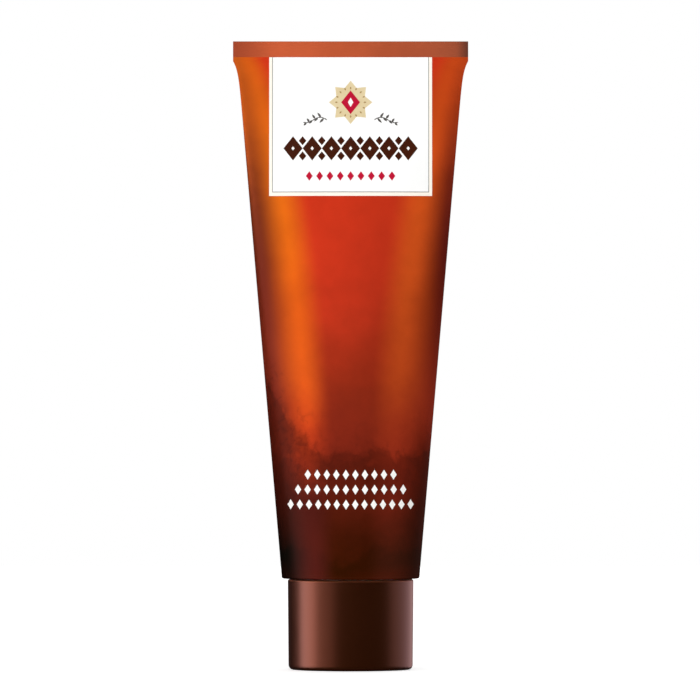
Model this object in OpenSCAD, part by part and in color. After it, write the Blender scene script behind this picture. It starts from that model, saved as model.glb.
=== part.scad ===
// A shaving cream tube that stands on its screw cap.
// The tube is upside down in use: the cap's flat end is on z = 0, the neck points down into the cap
// and the flat welded tail is at the top. -Y is the front, with the label.

/* [Sleeve] */
// Diameter of the round end of the sleeve
tube_d = 38; // [30:0.5:50]
// Length of the sleeve, from the shoulder to the end of the tail
sleeve_len = 148.4; // [110:0.1:180]
// Width of the flat tail
tail_w = 65; // [55:0.5:80]
// Wall of the laminate sleeve
sleeve_wall = 0.5; // [0.3:0.05:0.7]
// Height of the flat fin at the tail
fin_h = 5.5; // [4:0.1:9]
// Thickness of the two walls welded together
fin_t = 1.1; // [0.8:0.05:1.6]
// How far the fin spreads past the straight taper, on each side
flare = 1.25; // [0:0.05:2]
// Height over which the fin's spread dies away
flare_len = 2.5; // [1.5:0.1:5]
// How full the sleeve's side view is: 1 is a plain wedge
belly = 1.35; // [1:0.05:1.8]
// Radius of the sleeve's edge where it laps the shoulder
lap_r = 0.4; // [0.2:0.05:0.45]

/* [Label] */
// Width of the front label
label_w = 45; // [20:0.5:48]
// Height of the front label
label_h = 38.4; // [20:0.1:60]
// Thickness of the label film
label_t = 0.12; // [0.05:0.01:0.3]
// Height of the welded band that the label stops under
weld_h = 4.4; // [3:0.1:5.4]
// Adhesive between the label and the sleeve
glue_t = 0.04; // [0.03:0.01:0.1]

/* [Shoulder and neck] */
// How far the cone starts out past the inside of the cap's rim
cone_over = 0.25; // [-2:0.05:0.4]
// Height of the shoulder's cone
cone_h = 3.3; // [2:0.1:6]
// Thickness of the shoulder's walls
head_wall = 1.4; // [1:0.1:2]
// Height of the shoulder's rim inside the sleeve
flange_h = 2.4; // [2:0.1:5]
// Outer diameter of the neck, under the thread
neck_d = 13; // [10:0.1:15]
// Length of the neck
neck_len = 12; // [9:0.1:15]
// Bore of the neck
neck_bore = 9.6; // [7.5:0.1:10]
// Hole that the cream comes out of
orifice_d = 7; // [4:0.1:7.4]
// Thickness of the lip around the hole
lip_t = 1.5; // [1:0.1:3]
// Thickness of the barrier insert
insert_t = 0.5; // [0.3:0.05:0.8]
// How far the insert reaches down the neck
insert_reach = 5; // [3:0.1:7]

/* [Thread] */
// Rise of the single-start thread in one turn
pitch = 3; // [2.5:0.1:4]
// Height of the neck's thread above the neck
thread_h = 0.9; // [0.6:0.05:1.1]
// Width of a thread at its root
thread_root = 1.6; // [1:0.05:1.8]
// Width of a thread at its crest
thread_crest = 0.8; // [0.4:0.05:1]
// Clearance between one piece's crest and the other's wall
crest_gap = 0.2; // [0.1:0.05:0.3]
// Plain length at each end of the neck
thread_margin = 1.2; // [0.9:0.1:2]

/* [Seals] */
// Thickness of the foil over the hole
foil_t = 0.15; // [0.1:0.01:0.3]
// Thickness of the sealing disc in the cap
disc_t = 1; // [0.6:0.1:2]
// Width of the ledge that the disc sits on
ledge_w = 2.4; // [1.5:0.1:3]

/* [Cap] */
// Height of the cap
cap_h = 25; // [20:0.5:34]
// How far the cap's rim stands in from the round end of the sleeve
cap_inset = 1.65; // [0.5:0.05:3.5]
// How far the cap's flat end stands in from its rim
cap_draft = 0.2; // [0:0.05:2]
// Wall of the cap's skirt
cap_wall = 1.6; // [1:0.1:1.8]
// Thickness of the cap's flat end
cap_plate = 1.6; // [1:0.1:2.4]
// Radius around the flat end
cap_edge_r = 1.3; // [0.5:0.1:1.5]
// Bevel at the cap's rim
rim_bevel = 0.38; // [0.2:0.02:0.7]
// Gap between the cap's rim and the shoulder
rim_gap = 0.2; // [0.1:0.05:0.5]
// Wall of the threaded collar
collar_wall = 1.4; // [1:0.1:2]
// Gap between the collar's mouth and the shoulder
collar_gap = 1.4; // [0.5:0.1:3]
// Number of ribs between the collar and the skirt
ribs = 6; // [3:1:12]
// Thickness of a rib
rib_t = 0.9; // [0.6:0.1:1.6]
// Height of the ribs above the flat end
rib_h = 12; // [4:0.5:16]

/* [Cream] */
// Empty height under the tail
headspace = 14; // [6:1:60]
// Gap between the cream and the walls
cream_gap = 0.06; // [0.04:0.01:0.2]

/* [Hidden] */
$fn = 96;
AROUND = 72;      // points around the sleeve
UP = 20;          // steps up the sleeve
LABEL_ACROSS = 20;
LABEL_UP = 12;
TURN_STEPS = 24;  // steps in one turn of a thread
FADE = 40;        // degrees over which a thread rises from the wall
SINK = 0.3;       // how deep a ridge is rooted in its wall
JOIN = 0.02;      // gap between two pieces moulded or welded to each other

tube_r = tube_d / 2;
tail_r = tail_w / 2;
neck_r = neck_d / 2;
bore_r = neck_bore / 2;
orifice_r = orifice_d / 2;
cap_r = tube_r - cap_inset;
cap_end_r = cap_r - cap_draft;
skirt_in_r = cap_r - cap_wall;
skirt_in_end_r = cap_end_r - cap_wall;

// heights, from the cap's flat end up
land_z = cap_h + rim_gap;
root_z = land_z - cone_h;
tip_z = root_z - neck_len;
foil_z = tip_z - foil_t;
tab_z = foil_z - foil_t;
ledge_z = tab_z - disc_t;
collar_top_z = root_z - collar_gap;
flange_top_z = land_z + flange_h;
fin_z = land_z + sleeve_len - fin_h;
cavity_top_z = fin_z - fin_h / 2;
top_z = land_z + sleeve_len;

// radii of the shoulder and of what fits around the neck
flange_r = tube_r - sleeve_wall - JOIN;
rim_in_r = flange_r - head_wall;
cone_r = skirt_in_r + cone_over;
thread_r = neck_r + thread_h;
collar_bore_r = thread_r + crest_gap;
collar_r = collar_bore_r + collar_wall;
inner_thread_r = neck_r + crest_gap;
disc_r = inner_thread_r - 0.1;
foil_r = neck_r - 0.2;
ledge_r = collar_bore_r - ledge_w;

// ---- the sleeve's shape: a circle at the shoulder, a flat strip at the fin ----

taper = (tail_r - flare - tube_r) / (fin_z - land_z);
// the section stays round, front to back, as far as the shoulder's rim reaches
function share(z) = min(1, max(0, (z - flange_top_z) / (fin_z - flange_top_z)));
function lap(z) = z < land_z + lap_r
    ? lap_r - sqrt(max(0, lap_r * lap_r - pow(land_z + lap_r - z, 2))) : 0;
function half_w(z) = z >= fin_z ? tail_r
    : tube_r + taper * (z - land_z) + flare * exp((z - fin_z) / flare_len);
function half_t(z) = fin_t / 2 + (tube_r - fin_t / 2) * (1 - pow(share(z), belly));
function edge_t(z) = fin_t / 2 * pow(share(z), 8);

// a point of the section at height z, at angle a, with the skin moved in by d
function skin(z, a, d) =
    let(w = (half_w(z) - d) / cos(180 / AROUND),
        t = (half_t(z) - d) / cos(180 / AROUND),
        e = max(0, edge_t(z) - d),
        s = sin(a))
    [w * cos(a), sign(s) * (e + (t - e) * abs(s)), z];
function section(z, d) =
    [for (i = [0 : AROUND - 1]) skin(z, (i + 0.5) * 360 / AROUND, d)];
function round_section(z, r) =
    [for (i = [0 : AROUND - 1])
        let(a = (i + 0.5) * 360 / AROUND) [r * cos(a), r * sin(a), z]];

// heights of the sections between two heights, closer together towards the upper one
function steps(z0, z1, n) = [for (i = [0 : n]) z0 + (z1 - z0) * sin(90 * i / n)];

// heights of the sections up the inside of the sleeve, above the shoulder's rim
cavity_z = steps(flange_top_z, cavity_top_z, UP);

// triangles between each ring and the next, for rings of n points listed from the bottom up
function band(rings, n, out) = [
    for (k = [0 : rings - 2], i = [0 : n - 1])
        let(a = k * n + i, b = k * n + (i + 1) % n, c = a + n, d = b + n)
        each out ? [[a, d, b], [a, c, d]] : [[a, b, d], [a, d, c]]];
function shift(faces, by) = [for (f = faces) [for (v = f) v + by]];
function ring(start, n) = [for (i = [0 : n - 1]) start + i];
function flip(face) = [for (i = [len(face) - 1 : -1 : 0]) face[i]];

// a closed solid through rings listed from the bottom up
module loft(rings) {
    n = len(rings[0]);
    points = [for (r = rings) each r];
    faces = concat(band(len(rings), n, true),
        [ring(0, n)], [flip(ring((len(rings) - 1) * n, n))]);
    polyhedron(points, faces, convexity = 4);
}

// ---- threads ----

// a helical ridge from angle a0 to a1; reach is how far it stands from the wall, negative inward
module ridge(wall_r, reach, z0, a0, a1) {
    out = sign(reach);
    n = ceil((a1 - a0) / 360 * TURN_STEPS);
    angles = [for (i = [0 : n]) a0 + (a1 - a0) * i / n];
    rows = [for (a = angles)
        let(grow = min(1, max(0.15, min(a - a0, a1 - a) / FADE)),
            z = z0 + pitch * a / 360,
            deep = wall_r - out * SINK,
            crest = wall_r + reach * grow,
            root_half = thread_root / 2 + SINK * 0.3,
            tip_half = thread_crest / 2)
        [for (p = [[deep, -root_half], [crest, -tip_half], [crest, tip_half], [deep, root_half]])
            [p[0] * cos(a), p[0] * sin(a), z + p[1]]]];
    points = [for (r = rows) each r];
    faces = concat(band(n + 1, 4, out < 0),
        [out < 0 ? ring(0, 4) : flip(ring(0, 4))],
        [out < 0 ? flip(ring(n * 4, 4)) : ring(n * 4, 4)]);
    polyhedron(points, faces, convexity = 8);
}

// turns of ridge that fit between two heights
function ridge_turn(z0, z1) = (z1 - z0 - thread_root) / pitch * 360;

// ---- pieces of the tube ----

module tube_sleeve() {
    outer_z = concat([for (i = [0 : 3]) land_z + lap_r * i / 3],
        steps(flange_top_z, fin_z, UP), [top_z]);
    inner_z = concat([land_z], cavity_z);
    outer = [for (z = outer_z) section(z, lap(z))];
    inner = [for (z = inner_z) section(z, sleeve_wall)];
    n = AROUND;
    hole = len(outer) * n;
    foot = [for (i = [0 : n - 1])
        let(j = (i + 1) % n) each [[i, j, hole + j], [i, hole + j, hole + i]]];
    color([0.78, 0.29, 0.12])
        polyhedron(concat([for (r = outer) each r], [for (r = inner) each r]),
            concat(band(len(outer), n, true), shift(band(len(inner), n, false), hole), foot,
                [flip(ring(hole - n, n))],
                [ring(hole + (len(inner) - 1) * n, n)]),
            convexity = 6);
}

module front_label() {
    low_z = top_z - weld_h - label_h;
    cols = LABEL_ACROSS;
    rows = LABEL_UP;
    // the angle at which the section is x wide, on the front
    function at(x, z) = 360 - acos(x / (half_w(z) / cos(180 / AROUND)));
    function sheet(d) = [for (k = [0 : rows])
        let(z = low_z + label_h * sin(90 * k / rows))
        for (i = [0 : cols])
            let(x = label_w * (i / cols - 0.5), p = skin(z, at(x, z), 0))
            [x, p[1] - d, z]];
    w = cols + 1;
    m = w * (rows + 1);
    function quads(out) = [for (k = [0 : rows - 1], i = [0 : cols - 1])
        let(a = k * w + i, b = a + 1, c = a + w, d = c + 1)
        each out ? [[a, d, b], [a, c, d]] : [[a, b, d], [a, d, c]]];
    edge = concat([for (i = [0 : cols]) i],
        [for (k = [1 : rows]) k * w + cols],
        [for (i = [cols - 1 : -1 : 0]) rows * w + i],
        [for (k = [rows - 1 : -1 : 1]) k * w]);
    rim = [for (i = [0 : len(edge) - 1])
        let(a = edge[i], b = edge[(i + 1) % len(edge)])
        each [[a, b, m + b], [a, m + b, m + a]]];
    color([0.97, 0.95, 0.9])
        polyhedron(concat(sheet(glue_t), sheet(glue_t + label_t)),
            concat(quads(false), shift(quads(true), m), [for (f = rim) flip(f)]),
            convexity = 4);
}

module tube_shoulder() {
    slope = cone_h / (cone_r - neck_r);
    thread_z = tip_z + thread_margin + thread_root / 2;
    color([0.93, 0.92, 0.88]) union() {
        rotate_extrude() polygon([
            [orifice_r, tip_z],
            [neck_r, tip_z],
            [neck_r, root_z],
            [cone_r, land_z],
            [flange_r, land_z],
            [flange_r, flange_top_z],
            [rim_in_r, flange_top_z],
            [rim_in_r, land_z + head_wall],
            [bore_r, land_z + head_wall - slope * (rim_in_r - bore_r)],
            [bore_r, tip_z + lip_t],
            [orifice_r, tip_z + lip_t]]);
        ridge(neck_r, thread_h, thread_z, 0,
            ridge_turn(tip_z + thread_margin, root_z - thread_margin));
    }
}

module barrier_insert() {
    slope = cone_h / (cone_r - neck_r);
    out_r = rim_in_r - JOIN;
    tube_out_r = bore_r - JOIN;
    tube_in_r = tube_out_r - insert_t;
    high_z = land_z + head_wall + JOIN * 2;
    low_z = high_z - slope * (rim_in_r - bore_r);
    color([0.85, 0.87, 0.88]) rotate_extrude() polygon([
        [tube_out_r, low_z],
        [out_r, high_z],
        [out_r, high_z + insert_t],
        [tube_in_r, low_z + insert_t],
        [tube_in_r, low_z - insert_reach],
        [tube_out_r, low_z - insert_reach]]);
}

module orifice_seal() {
    tab_w = foil_r * 1.1;
    color([0.8, 0.8, 0.82]) union() {
        translate([0, 0, foil_z]) cylinder(r = foil_r, h = foil_t);
        intersection() {
            translate([0, 0, tab_z]) cylinder(r = foil_r, h = foil_t);
            translate([0, -tab_w / 2, tab_z]) cube([foil_r, tab_w, foil_t]);
        }
    }
}

module cream_fill() {
    slope = cone_h / (cone_r - neck_r);
    hole_r = orifice_r - cream_gap;
    neck_in_r = bore_r - JOIN - insert_t - cream_gap;
    cone_low_z = land_z + head_wall - slope * (rim_in_r - bore_r) + insert_t + cream_gap;
    cone_high_z = land_z + head_wall + insert_t + cream_gap + JOIN * 2;
    fill_z = fin_z - headspace;
    low_z = flange_top_z + cream_gap * 3;
    levels = [for (z = cavity_z) if (z > low_z && z < fill_z) z];
    rings = concat(
        [round_section(tip_z, hole_r),
            round_section(tip_z + lip_t + cream_gap, hole_r),
            round_section(tip_z + lip_t + cream_gap * 2, neck_in_r),
            round_section(cone_low_z + JOIN * 2, neck_in_r),
            round_section(cone_high_z, rim_in_r - cream_gap),
            round_section(flange_top_z + cream_gap, rim_in_r - cream_gap)],
        [for (z = concat([low_z], levels, [fill_z])) section(z, sleeve_wall + cream_gap)]);
    color([0.96, 0.96, 0.95]) loft(rings);
}

// ---- pieces of the cap ----

module screw_cap() {
    rib_len = skirt_in_end_r - collar_r + SINK * 2;
    thread_top = collar_top_z - thread_root / 2 - 0.3;
    collar_turn = ridge_turn(tip_z + thread_margin, collar_top_z - 0.3);
    // the neck's thread passes half a pitch away
    thread_z = tip_z + thread_margin + thread_root / 2 + pitch / 2;
    color([0.2, 0.08, 0.04]) union() {
        rotate_extrude() difference() {
            union() {
                polygon([
                    [0, 0],
                    [cap_end_r - cap_edge_r, 0],
                    [cap_end_r, cap_edge_r],
                    [cap_r, cap_h - rim_bevel],
                    [cap_r - rim_bevel, cap_h],
                    [0, cap_h]]);
                translate([cap_end_r - cap_edge_r, cap_edge_r]) circle(r = cap_edge_r);
            }
            polygon([
                [collar_r, cap_plate],
                [skirt_in_end_r, cap_plate],
                [skirt_in_r, cap_h + 1],
                [0, cap_h + 1],
                [0, collar_top_z],
                [collar_r, collar_top_z]]);
            translate([0, ledge_z]) square([collar_bore_r, cap_h]);
            translate([0, cap_plate]) square([ledge_r, cap_h]);
        }
        for (i = [0 : ribs - 1])
            rotate([0, 0, (i + 0.5) * 360 / ribs])
                translate([collar_r - SINK, -rib_t / 2, cap_plate - SINK])
                    cube([rib_len, rib_t, rib_h + SINK]);
        ridge(collar_bore_r, inner_thread_r - collar_bore_r, thread_z, 0,
            collar_turn - 180);
    }
}

module sealing_disc() {
    color([0.92, 0.92, 0.9])
        translate([0, 0, ledge_z]) cylinder(r = disc_r, h = disc_t);
}

screw_cap();
sealing_disc();
tube_sleeve();
front_label();
tube_shoulder();
barrier_insert();
orifice_seal();
cream_fill();
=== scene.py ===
"""A shaving cream tube standing on its screw cap: the finished look of each of its pieces."""
import math

import bmesh
import bpy
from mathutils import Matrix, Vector, noise


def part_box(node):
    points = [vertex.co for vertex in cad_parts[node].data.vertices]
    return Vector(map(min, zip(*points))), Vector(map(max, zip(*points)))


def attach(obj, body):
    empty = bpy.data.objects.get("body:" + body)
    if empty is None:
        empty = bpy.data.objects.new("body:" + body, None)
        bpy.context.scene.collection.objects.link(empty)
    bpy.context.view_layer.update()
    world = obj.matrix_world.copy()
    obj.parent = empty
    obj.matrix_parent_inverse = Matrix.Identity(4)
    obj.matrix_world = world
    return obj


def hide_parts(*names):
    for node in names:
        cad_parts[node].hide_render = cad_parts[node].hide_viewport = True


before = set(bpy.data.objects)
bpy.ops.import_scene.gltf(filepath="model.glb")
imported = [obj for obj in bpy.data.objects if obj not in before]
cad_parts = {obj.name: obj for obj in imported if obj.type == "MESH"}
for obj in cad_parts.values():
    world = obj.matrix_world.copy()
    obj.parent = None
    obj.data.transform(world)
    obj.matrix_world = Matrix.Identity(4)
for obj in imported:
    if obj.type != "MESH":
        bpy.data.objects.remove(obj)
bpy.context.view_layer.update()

# ---- Screw cap ----
# One moulding in satin brown polypropylene: a tapered skirt, a flat end to stand on, and inside it
# a threaded collar held by ribs, with a ledge for the sealing disc. It screws onto the tube's neck.

MM = 0.001
cap_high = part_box("screw_cap")[1]
disc_low, disc_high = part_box("sealing_disc")
neck_low, neck_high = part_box("tube_shoulder")
CAP_R = cap_high.x
CAP_DRAFT = 0.2 * MM
CAP_END_R = CAP_R - CAP_DRAFT
CAP_H = cap_high.z
CAP_WALL = 1.6 * MM
PLATE = 1.6 * MM
NECK_R = 6.5 * MM
THREAD_H = 0.9 * MM
CREST_GAP = 0.2 * MM
PITCH = 3.0 * MM
THREAD_ROOT = 1.6 * MM
THREAD_CREST = 0.8 * MM
THREAD_MARGIN = 1.2 * MM
THREAD_STOP = 0.3 * MM
COLLAR_BORE_R = NECK_R + THREAD_H + CREST_GAP
COLLAR_WALL = 1.4 * MM
LEDGE_W = 2.4 * MM
NECK_LEN = 12.0 * MM
COLLAR_GAP = 1.4 * MM
RIB_COUNT = 6
RIB_T = 0.9 * MM
RIB_H = 12.0 * MM
SINK = 0.3 * MM
COLLAR_R = COLLAR_BORE_R + COLLAR_WALL
LEDGE_R = COLLAR_BORE_R - LEDGE_W
NECK_TIP_Z = neck_low.z
NECK_ROOT_Z = NECK_TIP_Z + NECK_LEN
COLLAR_TOP_Z = NECK_ROOT_Z - COLLAR_GAP
TURNED_STEPS = 160


def ink(r, g, b):
    """A colour of the 0 to 255 scale, as the shaders take it."""
    def linear(c):
        c /= 255
        return c / 12.92 if c < 0.04045 else ((c + 0.055) / 1.055) ** 2.4
    return linear(r), linear(g), linear(b), 1.0


def filleted(outline):
    """Points (radius, height) of an outline of (radius, height, fillet) corners."""
    points = []
    n = len(outline)
    for i, (r, z, fillet) in enumerate(outline):
        here = Vector((r, z))
        if not fillet or i in (0, n - 1):
            points.append(here)
            continue
        back = Vector(outline[i - 1][:2]) - here
        on = Vector(outline[i + 1][:2]) - here
        half = back.angle(on) / 2
        reach = min(fillet / math.tan(half), back.length * 0.48, on.length * 0.48)
        start = here + back.normalized() * reach
        end = here + on.normalized() * reach
        for k in range(7):
            t = k / 6
            points.append(start * (1 - t) ** 2 + here * 2 * t * (1 - t) + end * t * t)
    return points


def new_object(name, data):
    """An object of some data, put in the scene."""
    made = bpy.data.objects.new(name, data)
    bpy.context.scene.collection.objects.link(made)
    return made


def smoothed(mesh, sharp):
    """Makes a mesh smooth but for its sharp edges."""
    mesh.polygons.foreach_set("use_smooth", [True] * len(mesh.polygons))
    mesh.set_sharp_from_angle(angle=math.radians(sharp))


def finished(name, bm, material, sharp=35):
    """An object of a closed bmesh, with outward faces, smooth but for its sharp edges."""
    bmesh.ops.remove_doubles(bm, verts=bm.verts, dist=1e-7)
    bmesh.ops.recalc_face_normals(bm, faces=bm.faces)
    mesh = bpy.data.meshes.new(name)
    bm.to_mesh(mesh)
    bm.free()
    smoothed(mesh, sharp)
    mesh.materials.append(material)
    return new_object(name, mesh)


def turned(name, outline, material, steps=TURNED_STEPS):
    """A piece turned about the Z axis. An outline that starts and ends on the axis is closed there."""
    points = filleted(outline)
    bm = bmesh.new()
    rings = []
    for r, z in points:
        if r < 1e-9:
            rings.append([bm.verts.new((0, 0, z))])
            continue
        rings.append([
            bm.verts.new((r * math.cos(a), r * math.sin(a), z))
            for a in (2 * math.pi * k / steps for k in range(steps))])
    pairs = list(zip(rings, rings[1:]))
    if len(rings[0]) > 1:
        pairs.append((rings[-1], rings[0]))
    for low, high in pairs:
        for k in range(steps):
            j = (k + 1) % steps
            corners = [low[k % len(low)], low[j % len(low)], high[j % len(high)], high[k % len(high)]]
            face = list(dict.fromkeys(corners))
            if len(face) > 2:
                bm.faces.new(face)
    return finished(name, bm, material)


def node(tree, kind, inputs=None, **settings):
    """A node of a tree, with its settings and with values or links for its inputs."""
    made = tree.nodes.new(kind)
    for key, setting in settings.items():
        setattr(made, key, setting)
    for key, given in (inputs or {}).items():
        if isinstance(given, bpy.types.NodeSocket):
            tree.links.new(given, made.inputs[key])
        else:
            made.inputs[key].default_value = given
    return made


def sums(tree, operation, *terms, clamp=False):
    """The output of a Math node."""
    made = node(tree, "ShaderNodeMath", dict(enumerate(terms)), operation=operation, use_clamp=clamp)
    return made.outputs[0]


def vector(tree, x=0.0, y=0.0, z=0.0):
    """The output of a Combine XYZ node."""
    return node(tree, "ShaderNodeCombineXYZ", {0: x, 1: y, 2: z}).outputs[0]


def blended(tree, amount, first, second, how="MIX"):
    """The colour output of a Mix node between two colours."""
    made = node(tree, "ShaderNodeMix", {0: amount, 6: first, 7: second},
                data_type="RGBA", blend_type=how)
    return made.outputs[2]


def step(tree, given, low, high):
    """A smooth step from 0 to 1 as a value goes from low to high."""
    made = node(tree, "ShaderNodeMapRange", {"Value": given, "From Min": low, "From Max": high},
                interpolation_type="SMOOTHSTEP")
    return made.outputs["Result"]


def ramp(tree, given, stops, interpolation="CARDINAL"):
    """The colour of a ramp of (position, colour) stops."""
    made = node(tree, "ShaderNodeValToRGB", {"Fac": given})
    band = made.color_ramp
    band.interpolation = interpolation
    while len(band.elements) < len(stops):
        band.elements.new(0.5)
    for element, (position, colour) in zip(band.elements, stops):
        element.position = position
        element.color = colour
    return made.outputs["Color"]


def new_group(name, inputs, outputs, group_type="ShaderNodeTree"):
    """A node group with named sockets, its input node and its output node."""
    group = bpy.data.node_groups.new(name, group_type)
    for label, kind, default in inputs:
        socket = group.interface.new_socket(label, in_out="INPUT", socket_type=kind)
        if default is not None:
            socket.default_value = default
    for label, kind in outputs:
        group.interface.new_socket(label, in_out="OUTPUT", socket_type=kind)
    return group, group.nodes.new("NodeGroupInput"), group.nodes.new("NodeGroupOutput")


FLOAT = "NodeSocketFloat"
# the skin of a moulding or a film: a fine grain, with broad faint smudges in its gloss
skin_group, skin_in, skin_out = new_group(
    "skin",
    [("Grain Scale", FLOAT, 2500.0), ("Smudge Scale", FLOAT, 60.0),
     ("Roughness", FLOAT, 0.4), ("Smudge", FLOAT, 0.1)],
    [("Height", FLOAT), ("Roughness", FLOAT), ("Mottle", FLOAT)])
skin_place = node(skin_group, "ShaderNodeTexCoord").outputs["Object"]
grain = node(skin_group, "ShaderNodeTexNoise", {
    "Vector": skin_place, "Scale": skin_in.outputs["Grain Scale"], "Detail": 3.0, "Roughness": 0.6})
smudge = node(skin_group, "ShaderNodeTexNoise", {
    "Vector": skin_place, "Scale": skin_in.outputs["Smudge Scale"], "Detail": 4.0, "Distortion": 0.6})
swing = sums(skin_group, "SUBTRACT", smudge.outputs["Fac"], 0.5)
rubbed = sums(skin_group, "MULTIPLY", swing, skin_in.outputs["Smudge"])
skin_group.links.new(grain.outputs["Fac"], skin_out.inputs["Height"])
skin_group.links.new(sums(skin_group, "ADD", skin_in.outputs["Roughness"], rubbed, clamp=True),
                     skin_out.inputs["Roughness"])
skin_group.links.new(smudge.outputs["Fac"], skin_out.inputs["Mottle"])


def new_material(name, roughness, smudges=0.1, grain_scale=2500.0, smudge_scale=60.0, bump=0.05,
                 **plain):
    """A material with the skin group on it. Returns the material, its tree, shader and skin node."""
    material = bpy.data.materials.new(name)
    material.use_nodes = True
    tree = material.node_tree
    shader = tree.nodes["Principled BSDF"]
    for key, setting in plain.items():
        shader.inputs[key.replace("_", " ")].default_value = setting
    skin = node(tree, "ShaderNodeGroup", node_tree=skin_group)
    skin.inputs["Grain Scale"].default_value = grain_scale
    skin.inputs["Smudge Scale"].default_value = smudge_scale
    skin.inputs["Roughness"].default_value = roughness
    skin.inputs["Smudge"].default_value = smudges
    relief = node(tree, "ShaderNodeBump", {
        "Strength": bump, "Distance": 0.05 * MM, "Height": skin.outputs["Height"]})
    tree.links.new(relief.outputs["Normal"], shader.inputs["Normal"])
    tree.links.new(skin.outputs["Roughness"], shader.inputs["Roughness"])
    return material, tree, shader, skin


def moulded(name, light, dark, roughness, **more):
    """Moulded plastic: its colour drifts a little between a lighter and a darker shade."""
    material, tree, shader, skin = new_material(name, roughness, **more)
    tree.links.new(blended(tree, skin.outputs["Mottle"], dark, light), shader.inputs["Base Color"])
    return material


RIM_BEVEL = 0.38 * MM
cap_brown, cap_tree, cap_shader, cap_skin = new_material(
    "satin brown plastic", 0.36, smudges=0.04, grain_scale=3200.0, bump=0.05, Metallic=0.4,
    Specular_IOR_Level=0.5, Specular_Tint=(1, 0.32, 0.27, 1))
cap_colour = blended(cap_tree, cap_skin.outputs["Mottle"], ink(50, 20, 3), ink(55, 23, 4))
# painted highlight: the outer corner of the rim is painted lighter, standing in for the light that its
# bevel catches
cap_place = node(cap_tree, "ShaderNodeTexCoord").outputs["Object"]
cap_xyz = node(cap_tree, "ShaderNodeSeparateXYZ", {0: cap_place})
cap_flat = vector(cap_tree, cap_xyz.outputs[0], cap_xyz.outputs[1])
cap_radius = node(cap_tree, "ShaderNodeVectorMath", {0: cap_flat}, operation="LENGTH")
painted_rim_highlight = sums(
    cap_tree, "MULTIPLY",
    step(cap_tree, cap_xyz.outputs[2], CAP_H - 1.7 * RIM_BEVEL, CAP_H - 1.1 * RIM_BEVEL),
    step(cap_tree, cap_radius.outputs["Value"], CAP_R - 1.3 * RIM_BEVEL, CAP_R - RIM_BEVEL))
cap_colour = blended(cap_tree, painted_rim_highlight, cap_colour, ink(92, 46, 26))
cap_tree.links.new(cap_colour, cap_shader.inputs["Base Color"])
cap_shell = turned("cap_shell", [
    (0, 0, 0),
    (CAP_END_R, 0, 1.5 * MM),
    (CAP_R, CAP_H - RIM_BEVEL, 0.06 * MM),
    (CAP_R - RIM_BEVEL, CAP_H, 0.06 * MM),
    (CAP_R - CAP_WALL, CAP_H, 0.12 * MM),
    (CAP_END_R - CAP_WALL, PLATE, 0.8 * MM),
    (COLLAR_R, PLATE, 0.5 * MM),
    (COLLAR_R, COLLAR_TOP_Z, 0.2 * MM),
    (COLLAR_BORE_R, COLLAR_TOP_Z, 0.3 * MM),
    (COLLAR_BORE_R, disc_low.z, 0.1 * MM),
    (LEDGE_R, disc_low.z, 0.15 * MM),
    (LEDGE_R, PLATE, 0.3 * MM),
    (0, PLATE, 0)], cap_brown)
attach(cap_shell, "cap")
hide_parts("screw_cap")


def new_tree(name, inputs):
    """A geometry tree with named inputs and a geometry output."""
    return new_group(name, inputs, [("Geometry", "NodeSocketGeometry")], "GeometryNodeTree")


def close_tree(tree, geometry, given, out):
    """Ends a tree: its instances are made real and get the material."""
    real = node(tree, "GeometryNodeRealizeInstances", {"Geometry": geometry})
    dressed = node(tree, "GeometryNodeSetMaterial", {
        "Geometry": real.outputs[0], "Material": given.outputs["Material"]})
    tree.links.new(dressed.outputs[0], out.inputs[0])


def grown(name, tree, values, sharp=35):
    """A plain mesh piece from a geometry tree and values for its named inputs."""
    seed = new_object(name + "_seed", bpy.data.meshes.new(name + "_seed"))
    modifier = seed.modifiers.new("nodes", "NODES")
    modifier.node_group = tree
    for item in tree.interface.items_tree:
        if item.in_out == "INPUT" and item.name in values:
            modifier[item.identifier] = values[item.name]
    depsgraph = bpy.context.evaluated_depsgraph_get()
    mesh = bpy.data.meshes.new_from_object(seed.evaluated_get(depsgraph), depsgraph=depsgraph)
    bpy.data.objects.remove(seed)
    smoothed(mesh, sharp)
    mesh.name = name
    return new_object(name, mesh)


# ribs: upright flat webs between the collar and the skirt, set around the axis
rib_tree, rib_in, rib_out = new_tree("ribs", [
    ("Count", "NodeSocketInt", 6), ("Inner Radius", FLOAT, 0.01),
    ("Outer Radius", FLOAT, 0.015), ("Thickness", FLOAT, 0.001),
    ("Floor", FLOAT, 0.001), ("Height", FLOAT, 0.01),
    ("Material", "NodeSocketMaterial", None)])
rib_near, rib_far = rib_in.outputs["Inner Radius"], rib_in.outputs["Outer Radius"]
rib_middle = sums(rib_tree, "MULTIPLY", sums(rib_tree, "ADD", rib_near, rib_far), 0.5)
rib_size = vector(rib_tree, sums(rib_tree, "SUBTRACT", rib_far, rib_near),
                  rib_in.outputs["Thickness"], rib_in.outputs["Height"])
rib_lift = sums(rib_tree, "MULTIPLY_ADD", rib_in.outputs["Height"], 0.5, rib_in.outputs["Floor"])
rib_box = node(rib_tree, "GeometryNodeMeshCube", {"Size": rib_size})
rib_place = vector(rib_tree, rib_middle, z=rib_lift)
rib_moved = node(rib_tree, "GeometryNodeTransform", {
    "Geometry": rib_box.outputs["Mesh"], "Translation": rib_place})
rib_points = node(rib_tree, "GeometryNodeMeshLine", {
    "Count": rib_in.outputs["Count"], "Offset": (0, 0, 0)})
rib_index = node(rib_tree, "GeometryNodeInputIndex").outputs[0]
rib_part = sums(rib_tree, "DIVIDE", sums(rib_tree, "ADD", rib_index, 0.5), rib_in.outputs["Count"])
rib_turn = vector(rib_tree, z=sums(rib_tree, "MULTIPLY", rib_part, math.tau))
rib_set = node(rib_tree, "GeometryNodeInstanceOnPoints", {
    "Points": rib_points.outputs[0], "Instance": rib_moved.outputs[0], "Rotation": rib_turn})
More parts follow.
